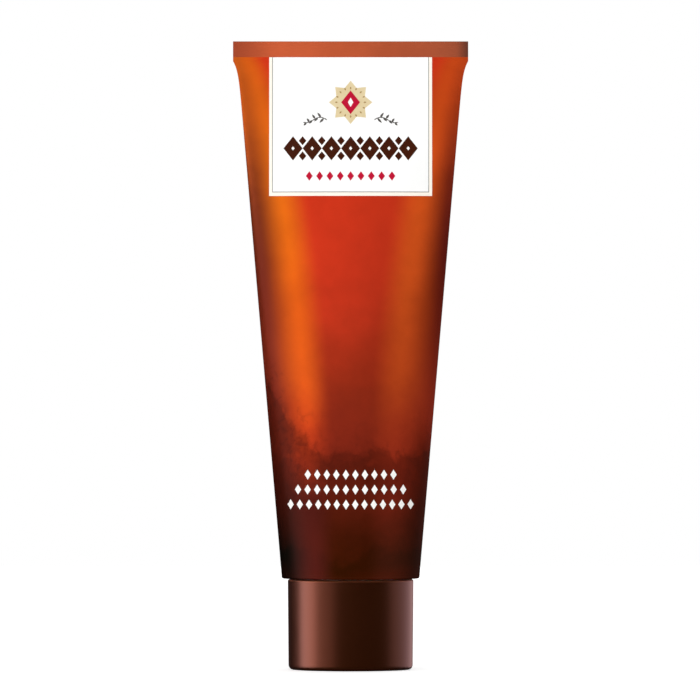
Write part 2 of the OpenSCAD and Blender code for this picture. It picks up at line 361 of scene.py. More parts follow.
close_tree(rib_tree, rib_set.outputs[0], rib_in, rib_out)
cap_ribs = grown("cap_ribs", rib_tree, {
    "Count": RIB_COUNT, "Inner Radius": COLLAR_R - SINK,
    "Outer Radius": CAP_END_R - CAP_WALL + SINK, "Thickness": RIB_T,
    "Floor": PLATE - SINK, "Height": RIB_H + SINK, "Material": cap_brown})
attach(cap_ribs, "cap")

# a thread: a trapezoid swept along a helix, rooted in its wall and fading out at both ends
thread_tree, thread_in, thread_out = new_tree("thread", [
    ("Turns", FLOAT, 2.5), ("Pitch", FLOAT, 0.003),
    ("Wall Radius", FLOAT, 0.0065), ("Start Height", FLOAT, 0.01),
    ("Root Width", FLOAT, 0.0016), ("Crest Width", FLOAT, 0.0008),
    ("Reach", FLOAT, 0.0009), ("Root Depth", FLOAT, 0.0003),
    ("Side", FLOAT, 1.0), ("Material", "NodeSocketMaterial", None)])


def thread_sum(operation, *terms):
    """The output of a Math node of the thread's tree."""
    return sums(thread_tree, operation, *terms)


helix = node(thread_tree, "GeometryNodeCurveSpiral", {
    "Resolution": 72, "Rotations": thread_in.outputs["Turns"],
    "Start Radius": thread_in.outputs["Wall Radius"], "End Radius": thread_in.outputs["Wall Radius"],
    "Height": thread_sum("MULTIPLY", thread_in.outputs["Turns"], thread_in.outputs["Pitch"]),
    "Reverse": True})
upright = node(thread_tree, "GeometryNodeSetCurveNormal", {"Curve": helix.outputs[0]}, mode="Z_UP")
along = node(thread_tree, "GeometryNodeSplineParameter").outputs["Factor"]
nearer = thread_sum("MINIMUM", along, thread_sum("SUBTRACT", 1.0, along))
fade = thread_sum("MINIMUM", 1.0, thread_sum("MAXIMUM", 0.12, thread_sum("MULTIPLY", nearer, 24.0)))
tooth = node(thread_tree, "GeometryNodeCurvePrimitiveQuadrilateral", {
    "Bottom Width": thread_in.outputs["Root Width"], "Top Width": thread_in.outputs["Crest Width"],
    "Height": thread_sum("ADD", thread_in.outputs["Reach"], thread_in.outputs["Root Depth"]),
    "Offset": 0.0}, mode="TRAPEZOID")
tooth_turn = vector(thread_tree, z=thread_sum("MULTIPLY", thread_in.outputs["Side"], -math.pi / 2))
tooth_out = thread_sum("SUBTRACT", thread_in.outputs["Reach"], thread_in.outputs["Root Depth"])
tooth_shift = vector(thread_tree, thread_sum(
    "MULTIPLY", thread_sum("MULTIPLY", tooth_out, 0.5), thread_in.outputs["Side"]))
tooth_set = node(thread_tree, "GeometryNodeTransform", {
    "Geometry": tooth.outputs[0], "Rotation": tooth_turn, "Translation": tooth_shift})
swept = node(thread_tree, "GeometryNodeCurveToMesh", {
    "Curve": upright.outputs[0], "Profile Curve": tooth_set.outputs[0], "Scale": fade,
    "Fill Caps": True})
placed = node(thread_tree, "GeometryNodeTransform", {
    "Geometry": swept.outputs[0],
    "Translation": vector(thread_tree, z=thread_in.outputs["Start Height"])})
close_tree(thread_tree, placed.outputs[0], thread_in, thread_out)
thread_sizes = {"Pitch": PITCH, "Root Width": THREAD_ROOT, "Crest Width": THREAD_CREST,
                "Root Depth": SINK}
FIRST_THREAD_Z = NECK_TIP_Z + THREAD_MARGIN + THREAD_ROOT / 2
# the collar's ridge runs half a pitch from the neck's, so that they pass each other
collar_turns = (COLLAR_TOP_Z - THREAD_STOP - NECK_TIP_Z - THREAD_MARGIN - THREAD_ROOT) / PITCH - 0.5
collar_thread = grown("collar_thread", thread_tree, {
    **thread_sizes, "Turns": collar_turns, "Wall Radius": COLLAR_BORE_R,
    "Start Height": FIRST_THREAD_Z + PITCH / 2, "Reach": THREAD_H, "Side": -1.0,
    "Material": cap_brown})
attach(collar_thread, "cap")

# ---- Sealing disc ----
# A loose wad of white foamed polyethylene that drops into the collar and rests on its ledge. The
# neck's lip has pressed a shallow ring into it.

foam_white, foam_tree, foam_shader, foam_skin = new_material(
    "white foam", 0.7, grain_scale=1800.0, bump=0.5)
foam_tree.links.new(
    ramp(foam_tree, foam_skin.outputs["Height"], [(0.3, ink(206, 205, 198)), (0.6, ink(244, 243, 238))]),
    foam_shader.inputs["Base Color"])
disc_r = disc_high.x
DENT = 0.06 * MM
DENT_FADE = 0.6 * MM
DENT_IN_R = 4.0 * MM
foam_disc = turned("foam_disc", [
    (0, disc_low.z, 0),
    (disc_r, disc_low.z, 0.15 * MM),
    (disc_r, disc_high.z, 0.15 * MM),
    (disc_r - DENT_FADE / 2, disc_high.z, 0.1 * MM),
    (disc_r - DENT_FADE, disc_high.z - DENT, 0.1 * MM),
    (DENT_IN_R, disc_high.z - DENT, 0.1 * MM),
    (DENT_IN_R - DENT_FADE, disc_high.z, 0.1 * MM),
    (0, disc_high.z, 0)], foam_white, steps=96)
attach(foam_disc, "disc")
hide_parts("sealing_disc")

# ---- Shoulder and neck ----
# Injection moulded in natural polyethylene: a cone with a rim that the sleeve is welded around, and
# a neck with a single-start thread. The lip at its end leaves the round hole for the cream.

shoulder_natural = moulded("natural polyethylene", ink(240, 237, 228), ink(228, 224, 213), 0.42,
                           smudges=0.1, grain_scale=1500.0, bump=0.1, Subsurface_Weight=0.25)
shoulder_natural.node_tree.nodes["Principled BSDF"].inputs["Subsurface Scale"].default_value = 1.2 * MM
SHOULDER_R = neck_high.x
CONE_H = 3.3 * MM
LAND_W = 2.48 * MM
LAND_Z = NECK_ROOT_Z + CONE_H
CONE_R = SHOULDER_R - LAND_W
HEAD_WALL = 1.4 * MM
BORE_R = 4.8 * MM
ORIFICE_R = 3.5 * MM
LIP_T = 1.5 * MM
RIM_IN_R = SHOULDER_R - HEAD_WALL
CONE_SLOPE = (LAND_Z - NECK_ROOT_Z) / (CONE_R - NECK_R)
BORE_TOP_Z = LAND_Z + HEAD_WALL - CONE_SLOPE * (RIM_IN_R - BORE_R)
shoulder = turned("shoulder_moulding", [
    (ORIFICE_R, NECK_TIP_Z, 0.0),
    (NECK_R, NECK_TIP_Z, 0.4 * MM),
    (NECK_R, NECK_ROOT_Z, 0.5 * MM),
    (CONE_R, LAND_Z, 0.6 * MM),
    (SHOULDER_R, LAND_Z, 0.1 * MM),
    (SHOULDER_R, neck_high.z, 0.2 * MM),
    (RIM_IN_R, neck_high.z, 0.2 * MM),
    (RIM_IN_R, LAND_Z + HEAD_WALL, 0.3 * MM),
    (BORE_R, BORE_TOP_Z, 0.4 * MM),
    (BORE_R, NECK_TIP_Z + LIP_T, 0.2 * MM),
    (ORIFICE_R, NECK_TIP_Z + LIP_T, 0.2 * MM)], shoulder_natural)
neck_turns = (NECK_ROOT_Z - NECK_TIP_Z - 2 * THREAD_MARGIN - THREAD_ROOT) / PITCH
neck_thread = grown("neck_thread", thread_tree, {
    **thread_sizes, "Turns": neck_turns, "Wall Radius": NECK_R, "Start Height": FIRST_THREAD_Z,
    "Reach": THREAD_H, "Side": 1.0, "Material": shoulder_natural})
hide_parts("tube_shoulder")
for moulding in (shoulder, neck_thread):
    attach(moulding, "tube")

# ---- Barrier insert ----
# A thin pale grey liner clipped inside the shoulder, which keeps the cream's scent in. It keeps the
# shape that the design gives it and is hidden once the sleeve is on.


def dress(piece_name, material):
    """Gives a piece that keeps the design's shape a material of its own."""
    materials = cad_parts[piece_name].data.materials
    materials.clear()
    materials.append(material)


insert_grey = moulded("grey barrier plastic", ink(205, 209, 212), ink(188, 193, 197), 0.38,
                      smudges=0.12, grain_scale=1500.0, bump=0.08)
dress("barrier_insert", insert_grey)

# ---- Foil seal ----
# Aluminium foil welded over the hole, with a half-moon tab folded flat on it, to be peeled off
# before the first use. Its embossing is too fine to be shape.

seal_foil, foil_tree, foil_shader = new_material(
    "embossed foil", 0.28, smudges=0.2, smudge_scale=180.0, grain_scale=2500.0, bump=0.2,
    Metallic=1.0)[:3]
foil_place = node(foil_tree, "ShaderNodeTexCoord").outputs["Object"]
foil_dots = node(foil_tree, "ShaderNodeTexVoronoi", {"Vector": foil_place, "Scale": 1600.0})
foil_tree.links.new(
    ramp(foil_tree, foil_dots.outputs["Distance"], [(0.1, ink(188, 190, 196)), (0.6, ink(226, 227, 231))]),
    foil_shader.inputs["Base Color"])
dress("orifice_seal", seal_foil)

# ---- Sleeve ----
# A laminate tube: a web of plastic and foil rolled round, welded along a lap seam down the back,
# and printed under a clear lacquer. The filled end is pressed flat and welded into a ribbed fin.

sleeve_low, sleeve_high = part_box("tube_sleeve")
TUBE_R = sleeve_high.y
TAIL_R = sleeve_high.x
TOP_Z = sleeve_high.z
SLEEVE_Z = sleeve_low.z
SLEEVE_H = TOP_Z - SLEEVE_Z
RIM_TOP_Z = neck_high.z
FIN_Z = TOP_Z - 5.5 * MM
WELD_Z = TOP_Z - 4.4 * MM
FIN_T = 1.1 * MM
WALL = 0.5 * MM
FLARE = 1.25 * MM
FLARE_LEN = 2.5 * MM
BELLY = 1.35
LAP_R = 0.4 * MM
WELD_RIBS = 8
WELD_RELIEF = 0.05 * MM
SEAM_W = 2.2 * MM
SEAM_T = 0.12 * MM
RIBS_END_Z = TOP_Z - 0.15 * MM
END_SUNK = 0.2 * MM
NEAR = 0.01 * MM
CAVITY_GAP = 2.75 * MM
SECTION_STEPS = 96
SEAM_STEPS = 13
BODY_RINGS = 96
CAVITY_RINGS = 24


def share(z):
    """How far a height is from the round end to the fin, from 0 to 1."""
    return min(1, max(0, (z - RIM_TOP_Z) / (FIN_Z - RIM_TOP_Z)))


def half_width(z):
    """Half of the sleeve's width at a height."""
    if z >= FIN_Z:
        return TAIL_R
    taper = (TAIL_R - FLARE - TUBE_R) / (FIN_Z - SLEEVE_Z)
    return TUBE_R + taper * (z - SLEEVE_Z) + FLARE * math.exp((z - FIN_Z) / FLARE_LEN)


def half_depth(z):
    """Half of the sleeve's thickness at a height, on its centre line."""
    return FIN_T / 2 + (TUBE_R - FIN_T / 2) * (1 - share(z) ** BELLY)


def edge_depth(z):
    """Half of the sleeve's thickness at its two sides."""
    return FIN_T / 2 * share(z) ** 8


def skin_point(angle, z, inset=0.0):
    """A point of the sleeve's skin, moved in by an inset."""
    w = half_width(z) - inset
    t = half_depth(z) - inset
    e = max(0, edge_depth(z) - inset)
    s = math.sin(angle)
    return Vector((w * math.cos(angle), math.copysign(e + (t - e) * abs(s), s), z))


def front_y(x, z):
    """Where the front of the sleeve is, at a place across it and a height."""
    u = min(1, abs(x) / half_width(z))
    e = edge_depth(z)
    return -(e + (half_depth(z) - e) * math.sqrt(1 - u * u))


def sleeve_angles(n, seam_n):
    """Angles around the section, from the right over the back, with more of them at the seam."""
    back = [math.pi * (k + 0.5) / n for k in range(n)]
    reach = 0.09
    seam = [math.pi / 2 - reach + 2 * reach * k / (seam_n - 1) for k in range(seam_n)]
    back = sorted([a for a in back if abs(a - math.pi / 2) > reach * 1.1] + seam)
    return back + [2 * math.pi - a for a in reversed(back)]


def sleeve_heights():
    """Heights of the rings of the outer skin, closer at the lap, the flare and the weld's ribs."""
    lap = [SLEEVE_Z + LAP_R * k / 5 for k in range(6)]
    body = [SLEEVE_Z + LAP_R + (FIN_Z - SLEEVE_Z - LAP_R) * math.sin(math.pi / 2 * k / BODY_RINGS)
            for k in range(1, BODY_RINGS + 1)]
    rise = [FIN_Z + (WELD_Z - FIN_Z) * k / 4 for k in range(1, 4)]
    steps = WELD_RIBS * 6
    ribs = [WELD_Z + (RIBS_END_Z - WELD_Z) * k / steps for k in range(steps + 1)]
    return lap + body + rise + ribs + [TOP_Z]


def slack(x, side, z):
    """How far the wall stands out between the stiff shoulder and the stiff weld, where it is soft."""
    free = math.sin(math.pi * min(1, max(0, (z - SLEEVE_Z) / (WELD_Z - SLEEVE_Z)))) ** 0.7
    near_weld = math.exp((z - FIN_Z) / (9 * MM))
    soft = noise.noise(Vector((x * 45, side * 3, z * 22)))
    fine = noise.noise(Vector((x * 120, side * 7, z * 40)))
    across = 1 - (x / half_width(z)) ** 2
    return across * free * (0.16 * MM * soft + 0.07 * MM * fine * near_weld)


def outer_point(angle, z):
    """A point of the outer skin, with its lap, its seam, its weld and the slack of a soft wall."""
    inset = 0.0
    if z < SLEEVE_Z + LAP_R:
        rise = SLEEVE_Z + LAP_R - z
        inset = LAP_R - math.sqrt(max(0, LAP_R ** 2 - rise ** 2))
    p = skin_point(angle, z, inset)
    side = math.copysign(1, math.sin(angle))
    if z > WELD_Z - NEAR:
        turn = (z - WELD_Z) / (RIBS_END_Z - WELD_Z) * WELD_RIBS
        sunk = WELD_RELIEF * (0.5 + 0.5 * math.cos(turn * math.tau))
        if z > TOP_Z - NEAR:
            sunk = END_SUNK
        p.y -= side * min(sunk, abs(p.y) * 0.6)
    else:
        p.y += side * slack(p.x, side, z)
    seam = max(0, 1 - (abs(p.x) / (SEAM_W / 2)) ** 12)
    if side > 0 and z < WELD_Z:
        p.y += SEAM_T * seam * min(1, (z - SLEEVE_Z) / (2 * MM))
    return p


def add_uv(mesh, name, place):
    """A UV map of a mesh from a function of a vertex's position."""
    layer = mesh.uv_layers.new(name=name)
    for loop in mesh.loops:
        layer.data[loop.index].uv = place(mesh.vertices[loop.vertex_index].co)


def sleeve_mesh(material):
    """The sleeve's closed shell: outer skin, weld, and the inner skin of its cavity."""
    bm = bmesh.new()
    angles = sleeve_angles(SECTION_STEPS, SEAM_STEPS)
    n = len(angles)
    outer = [[bm.verts.new(outer_point(a, z)) for a in angles] for z in sleeve_heights()]
    cavity_h = FIN_Z - CAVITY_GAP - SLEEVE_Z
    inner_z = [SLEEVE_Z + cavity_h * math.sin(math.pi / 2 * k / CAVITY_RINGS)
               for k in range(CAVITY_RINGS + 1)]
    inner = [[bm.verts.new(skin_point(a, z, WALL)) for a in angles] for z in inner_z]

    def wrap(low, high):
        for k in range(n):
            j = (k + 1) % n
            bm.faces.new((low[k], low[j], high[j], high[k]))

    def bridge(ring):
        for k in range(n // 2 - 1):
            bm.faces.new((ring[k], ring[k + 1], ring[n - 2 - k], ring[n - 1 - k]))

    for rings in (outer, inner):
        for low, high in zip(rings, rings[1:]):
            wrap(low, high)
        bridge(rings[-1])
    wrap(inner[0], outer[0])
    piece = finished("printed_sleeve", bm, material, sharp=50)
    add_uv(piece.data, "print", lambda p: (
        0.5 + 0.5 * p.x / half_width(p.z), (p.z - SLEEVE_Z) / SLEEVE_H))
    return piece


# the print glows like embers up the middle. An amber streak down the left side and a rust-red one down the
# right are painted reflections of the side lights, and the darkening at the two edges is painted shade
# where the sleeve turns from the light. Each colour is listed from the cap to the tail.
EMBER = [(0.05, ink(60, 19, 3)), (0.24, ink(122, 36, 20)), (0.38, ink(152, 44, 22)),
         (0.55, ink(197, 52, 27)), (0.92, ink(204, 53, 25))]
AMBER_SHEEN = [(0.06, ink(78, 25, 18)), (0.17, ink(106, 33, 20)), (0.27, ink(186, 60, 24)),
         (0.37, ink(212, 84, 24)), (0.54, ink(218, 92, 20)), (0.70, ink(222, 104, 20)),
         (0.96, ink(208, 90, 22))]
RUST_RED_SHEEN = [(0.06, ink(75, 27, 14)), (0.24, ink(146, 45, 24)), (0.38, ink(174, 64, 24)),
        (0.68, ink(206, 80, 26)), (0.92, ink(190, 68, 22))]
LEFT_EDGE_SHADE = [(0.06, ink(26, 12, 8)), (0.24, ink(74, 20, 10)), (0.36, ink(108, 34, 20)),
             (0.70, ink(112, 44, 20)), (0.94, ink(186, 82, 24))]
RIGHT_EDGE_SHADE = [(0.06, ink(44, 14, 4)), (0.22, ink(84, 22, 8)), (0.31, ink(128, 38, 20)),
              (0.50, ink(97, 26, 13)), (0.70, ink(106, 31, 18)), (0.94, ink(172, 60, 22))]
DULL_WELD = [(0.0, ink(158, 70, 44)), (0.2, ink(198, 92, 56)), (0.6, ink(178, 84, 52)),
             (0.95, ink(156, 78, 52)), (1.0, ink(100, 56, 44))]
STREAK_AT_FOOT = 0.24
STREAK_RUNS_OUT = 0.20
STREAK_W = 0.17
RIDGE = [(0.0, 0.37), (0.12, 0.31), (0.26, 0.245), (0.5, 0.232), (0.8, 0.228), (1.0, 0.245)]

sleeve_print, print_tree, print_shader, print_skin = new_material(
    "lacquered print", 0.42, smudges=0.06, grain_scale=900.0, smudge_scale=28.0, bump=0.03,
    Metallic=0.07, Specular_IOR_Level=0.0, Specular_Tint=(0.5, 0.16, 0.06, 1), Coat_Roughness=0.3)
print_uv = node(print_tree, "ShaderNodeUVMap", uv_map="print").outputs["UV"]
print_xyz = node(print_tree, "ShaderNodeSeparateXYZ", {0: print_uv})
across, up = print_xyz.outputs[0], print_xyz.outputs[1]
print_place = node(print_tree, "ShaderNodeTexCoord").outputs["Object"]
cloud = node(print_tree, "ShaderNodeTexNoise", {
    "Vector": print_place, "Scale": 70.0, "Detail": 5.0, "Roughness": 0.6}).outputs["Fac"]
drift = sums(print_tree, "MULTIPLY", sums(print_tree, "SUBTRACT", cloud, 0.5), 0.10)
wandered = sums(print_tree, "ADD", up, drift)


def print_step(given, low, high):
    """A smooth step in the print's tree."""
    return step(print_tree, given, low, high)


def print_sum(operation, *terms):
    """The output of a Math node of the print's tree."""
    return sums(print_tree, operation, *terms)


# the painted reflection streaks keep near the edges: they stand further out as the tube widens
streak_in = print_sum("SUBTRACT", STREAK_AT_FOOT,
                      print_sum("MULTIPLY", STREAK_RUNS_OUT, print_sum("POWER", up, 2.3)))
streak_reach = print_sum("MULTIPLY", STREAK_W, print_sum(
    "SUBTRACT", 1.0, print_sum("MULTIPLY", 0.55, print_sum("POWER", up, 4.0))))
from_right = print_sum("SUBTRACT", 1.0, across)
colour = ramp(print_tree, wandered, EMBER)
# painted shade: the right half of the print is darkened a little, as the side turned from the light
colour = blended(print_tree, print_sum("MULTIPLY", print_step(across, 0.42, 0.66), 0.15), colour,
                 ink(60, 20, 8))
# painted reflection and painted shade: each side gets its streak of reflected light, and past it the print
# is darkened towards the edge
for from_edge, streak, edge_shade, start in (
        (across, AMBER_SHEEN, LEFT_EDGE_SHADE, 0.2), (from_right, RUST_RED_SHEEN, RIGHT_EDGE_SHADE, 0.05)):
    past = print_sum("SUBTRACT", from_edge, streak_in)
    colour = blended(print_tree, print_step(past, streak_reach, 0.0), colour,
                     ramp(print_tree, wandered, streak))
    inward = print_step(print_sum("DIVIDE", from_edge, streak_in), start, start + 0.95)
    colour = blended(print_tree, inward, ramp(print_tree, wandered, edge_shade), colour)

# the ridge: a jagged dark silhouette, which pales into mist further down
jag = node(print_tree, "ShaderNodeTexNoise", {
    "Vector": print_place, "Scale": 150.0, "Detail": 6.0, "Roughness": 0.6,
    "Distortion": 0.3}).outputs["Fac"]
crest = ramp(print_tree, across, [(position, (h, h, h, 1)) for position, h in RIDGE], "LINEAR")
crest_z = node(print_tree, "ShaderNodeSeparateColor", {0: crest}).outputs[0]
jagged = print_sum("ADD", crest_z, print_sum("MULTIPLY", print_sum("SUBTRACT", jag, 0.5), 0.16))
depth = print_sum("SUBTRACT", jagged, up)
crest_edge = print_step(depth, -0.012, 0.016)
mist = print_sum("SUBTRACT", 1.0, print_sum("MULTIPLY", 0.6, print_step(depth, 0.02, 0.09)))
foot_fades = print_step(up, 0.02, 0.17)
ridge = print_sum("MULTIPLY", print_sum("MULTIPLY", crest_edge, mist), foot_fades)
colour = blended(print_tree, print_sum("MULTIPLY", ridge, 0.42), colour, ink(46, 15, 7))
# wisps: darker scraps of smoke over and under the ridge, more of them on the left
wisp = node(print_tree, "ShaderNodeTexNoise", {
    "Vector": print_place, "Scale": 330.0, "Detail": 6.0, "Roughness": 0.62,
    "Distortion": 0.8}).outputs["Fac"]
wisp_zone = print_sum("MULTIPLY", print_step(depth, -0.09, 0.0), print_step(up, 0.1, 0.2))
to_left = print_sum("ADD", 0.35, print_sum("MULTIPLY", 0.65, print_step(across, 0.45, 0.1)))
wisps = print_sum("MULTIPLY", print_sum("MULTIPLY", print_step(wisp, 0.46, 0.66), wisp_zone), to_left)
colour = blended(print_tree, print_sum("MULTIPLY", wisps, 0.42), colour, ink(52, 18, 12))

# the weld is duller, and its colour runs from one edge to the other
weld = print_step(up, 0.9700, 0.9712)
colour = blended(print_tree, weld, colour, ramp(print_tree, across, DULL_WELD))
mottled = node(print_tree, "ShaderNodeMapRange", {
    "Value": cloud, "From Min": 0.25, "From Max": 0.75, "To Min": 0.90, "To Max": 1.10}).outputs[0]
tone = vector(print_tree, mottled, mottled, mottled)
colour = blended(print_tree, 1.0, colour, tone, "MULTIPLY")
print_tree.links.new(colour, print_shader.inputs["Base Color"])
dulled = sums(print_tree, "ADD", print_skin.outputs["Roughness"],
              print_sum("MULTIPLY", weld, 0.2), clamp=True)
print_tree.links.new(dulled, print_shader.inputs["Roughness"])
lacquer = print_sum("MULTIPLY", print_sum("SUBTRACT", 1.0, weld), 0.015)
print_tree.links.new(lacquer, print_shader.inputs["Coat Weight"])

sleeve = sleeve_mesh(sleeve_print)
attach(sleeve, "tube")
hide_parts("tube_sleeve")

# ---- Front label ----
# A self-adhesive label of thin white film, bent round the front of the sleeve and stopped just under
# the weld. A cream margin with a fine grey line runs down its sides and along its foot.

label_low, label_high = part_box("front_label")
LABEL_W = label_high.x - label_low.x
LABEL_H = label_high.z - label_low.z
LABEL_T = 0.12 * MM
GLUE_T = 0.04 * MM
MARGIN_W = 0.94
MARGIN_FOOT = 1.1
HAIRLINE = 0.07


def laid(x, z, lift):
    """A point at a height above the front of the finished sleeve."""
    return Vector((x, front_y(x, z) - slack(x, -1, z) - lift, z))


def label_mesh(material, cols=48, rows=44):
    """The label's closed sheet, bent to the sleeve."""
    bm = bmesh.new()
    back, front = [
        [[bm.verts.new(laid(label_low.x + LABEL_W * i / cols, label_low.z + LABEL_H * k / rows, lift))
          for i in range(cols + 1)] for k in range(rows + 1)]
        for lift in (GLUE_T, GLUE_T + LABEL_T)]
    for grid in (back, front):
        for low, high in zip(grid, grid[1:]):
            for i in range(cols):
                bm.faces.new((low[i], low[i + 1], high[i + 1], high[i]))

    def outline(grid):
        return (grid[0] + [row[-1] for row in grid[1:]] + grid[-1][-2::-1]
                + [row[0] for row in grid[-2:0:-1]])

    under, over = outline(back), outline(front)
    for k, corner in enumerate(under):
        j = (k + 1) % len(under)
        bm.faces.new((corner, under[j], over[j], over[k]))
    piece = finished("label_film", bm, material)
    add_uv(piece.data, "sheet", lambda p: (
        (p.x - label_low.x) / LABEL_W, (p.z - label_low.z) / LABEL_H))
    return piece


film_white, film_tree, film_shader, film_skin = new_material(
    "white label film", 0.32, smudges=0.08, grain_scale=1400.0, bump=0.05, Specular_IOR_Level=0.25)
film_uv = node(film_tree, "ShaderNodeUVMap", uv_map="sheet").outputs["UV"]
film_place = node(film_tree, "ShaderNodeSeparateXYZ", {0: film_uv})
off_centre = sums(film_tree, "ABSOLUTE", sums(film_tree, "SUBTRACT", film_place.outputs[0], 0.5))
from_side = sums(film_tree, "MULTIPLY", sums(film_tree, "SUBTRACT", 0.5, off_centre), LABEL_W / MM)
from_foot = sums(film_tree, "MULTIPLY", film_place.outputs[1], LABEL_H / MM * MARGIN_W / MARGIN_FOOT)
inset = sums(film_tree, "MINIMUM", from_side, from_foot)
margin = step(film_tree, inset, MARGIN_W + 0.02, MARGIN_W - 0.02)
off_line = sums(film_tree, "ABSOLUTE", sums(film_tree, "SUBTRACT", inset, MARGIN_W))
hairline = step(film_tree, off_line, HAIRLINE * 1.4, HAIRLINE)
paper = blended(film_tree, film_skin.outputs["Mottle"], ink(250, 250, 249), ink(254, 254, 253))
paper = blended(film_tree, margin, paper, ink(253, 245, 232))
paper = blended(film_tree, hairline, paper, ink(112, 106, 100))
film_tree.links.new(paper, film_shader.inputs["Base Color"])
label = label_mesh(film_white)
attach(label, "tube")
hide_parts("front_label")

# ---- Label ornament ----
# Plain ornament in place of a maker's print, in screen-printed inks a few hundredths of a millimetre
# thick: a gold star with a crimson centre, two grey sprigs, a brown frieze and a row in crimson.

INK_T = 0.035 * MM
INK_SUNK = 0.012 * MM
ON_LABEL = GLUE_T + LABEL_T + INK_T / 2 - INK_SUNK
EMBLEM_Z = label_low.z + 25.9 * MM
FRIEZE_Z = label_low.z + 13.15 * MM
ROW_Z = label_low.z + 5.5 * MM


def printing_ink(name, light, dark, **more):
    """An ink: a dry colour that lies a little unevenly."""
    return moulded(name, light, dark, 0.5, smudges=0.1, smudge_scale=400.0, grain_scale=4200.0,
                   bump=0.12, Specular_IOR_Level=0.05, **more)


gold_ink = printing_ink("gold ink", ink(238, 222, 182), ink(222, 200, 152), Metallic=0.15)
old_gold_ink = printing_ink("old gold ink", ink(186, 152, 98), ink(164, 130, 78), Metallic=0.15)
crimson_ink = printing_ink("crimson ink", ink(196, 22, 56), ink(182, 14, 48))
brown_ink = printing_ink("brown ink", ink(70, 28, 9), ink(60, 22, 6))
grey_ink = printing_ink("grey ink", ink(92, 88, 84), ink(74, 70, 68))
white_ink = printing_ink("white ink", ink(254, 253, 250), ink(246, 244, 240))

# marks in a row or round a ring: flat prisms with any number of sides, x to the right and y up
mark_inputs = [
    ("Count", "NodeSocketInt", 7), ("Sides", "NodeSocketInt", 4),
    ("Width", FLOAT, 0.002), ("Height", FLOAT, 0.003),
    ("Thickness", FLOAT, 0.00003), ("Material", "NodeSocketMaterial", None)]


def mark_shape(tree, given):
    """The prism that a tree of marks repeats, with rings of faces so that it can bend."""
    prism = node(tree, "GeometryNodeMeshCylinder", {
        "Vertices": given.outputs["Sides"], "Fill Segments": 4, "Radius": 0.5, "Depth": 1.0},
        fill_type="TRIANGLE_FAN")
    size = vector(tree, *(given.outputs[side] for side in ("Width", "Height", "Thickness")))
    return node(tree, "GeometryNodeTransform", {
        "Geometry": prism.outputs["Mesh"], "Scale": size}).outputs[0]


row_tree, row_in, row_out = new_tree("mark row", mark_inputs + [("Pitch", FLOAT, 0.004)])
row_span = sums(row_tree, "MULTIPLY", row_in.outputs["Pitch"],
                sums(row_tree, "SUBTRACT", row_in.outputs["Count"], 1.0))
row_start = vector(row_tree, sums(row_tree, "MULTIPLY", row_span, -0.5))
row_points = node(row_tree, "GeometryNodeMeshLine", {
    "Count": row_in.outputs["Count"], "Start Location": row_start,
    "Offset": vector(row_tree, row_in.outputs["Pitch"])})
row_set = node(row_tree, "GeometryNodeInstanceOnPoints", {
    "Points": row_points.outputs[0], "Instance": mark_shape(row_tree, row_in)})
close_tree(row_tree, row_set.outputs[0], row_in, row_out)

ring_tree, ring_in, ring_out = new_tree("mark ring", mark_inputs + [("Radius", FLOAT, 0.004)])
ring_points = node(ring_tree, "GeometryNodeMeshCircle", {
    "Vertices": ring_in.outputs["Count"], "Radius": ring_in.outputs["Radius"]})
ring_index = node(ring_tree, "GeometryNodeInputIndex").outputs[0]
ring_part = sums(ring_tree, "DIVIDE", ring_index, ring_in.outputs["Count"])
ring_turn = vector(ring_tree, z=sums(ring_tree, "MULTIPLY", ring_part, math.tau))
ring_set = node(ring_tree, "GeometryNodeInstanceOnPoints", {
    "Points": ring_points.outputs[0], "Instance": mark_shape(ring_tree, ring_in),
    "Rotation": ring_turn})
close_tree(ring_tree, ring_set.outputs[0], ring_in, ring_out)


def printed_on(piece, z, lift):
    """Lays a flat piece on the front of the tube, at a height, as part of the tube."""
    for vertex in piece.data.vertices:
        x, y, out = vertex.co
        vertex.co = laid(x, z + y, lift + out)
    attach(piece, "tube")


def marks(name, tree, material, z, count, sides, width, height, lift=ON_LABEL, slot="label_film",
          **spacing):
    """Marks of one ink, laid on the tube at a height. Sizes are in millimetres."""
    piece = grown(name, tree, {
        "Count": count, "Sides": sides, "Width": width * MM, "Height": height * MM,
        "Thickness": INK_T, "Material": material, **{k: v * MM for k, v in spacing.items()}})
    printed_on(piece, z, lift)


def flat_form(name, outlines, material, rings=4):
    """A flat closed piece of forms that are each given by an outline round a middle point."""
    bm = bmesh.new()
    for outline in outlines:
        middle = sum(outline, Vector((0, 0))) / len(outline)
        n = len(outline)
        faces = {}
        for out in (-INK_T / 2, INK_T / 2):
            loops = [[bm.verts.new((*(middle + (p - middle) * r / rings), out)) for p in outline]
                     for r in range(1, rings + 1)]
            centre = bm.verts.new((*middle, out))
            for k in range(n):
                j = (k + 1) % n
                bm.faces.new((centre, loops[0][k], loops[0][j]))
                for low, high in zip(loops, loops[1:]):
                    bm.faces.new((low[k], high[k], high[j], low[j]))
            faces[out] = loops[-1]
        under, over = faces.values()
        for k in range(n):
            j = (k + 1) % n
            bm.faces.new((under[k], under[j], over[j], over[k]))
    return finished(name, bm, material)


def star(points, outer, inner):
    """The outline of a star, in millimetres."""
    radii = (outer, inner)
    return [Vector((math.sin(a), math.cos(a))) * radii[k % 2] * MM
            for k, a in ((k, math.pi * k / points) for k in range(2 * points))]


def leaf(x, y, length, width, turn):
    """The outline of a pointed leaf that grows from a place at an angle, in millimetres."""
    side = [(t, 0.5 * width * math.sin(math.pi * t ** 0.8)) for t in (0, 0.15, 0.35, 0.6, 0.8)]
    outline = side + [(1, 0)] + [(t, -w) for t, w in reversed(side[1:])]
    c, s = math.cos(turn), math.sin(turn)
    return [Vector((x + length * t * c - w * s, y + length * t * s + w * c)) * MM for t, w in outline]


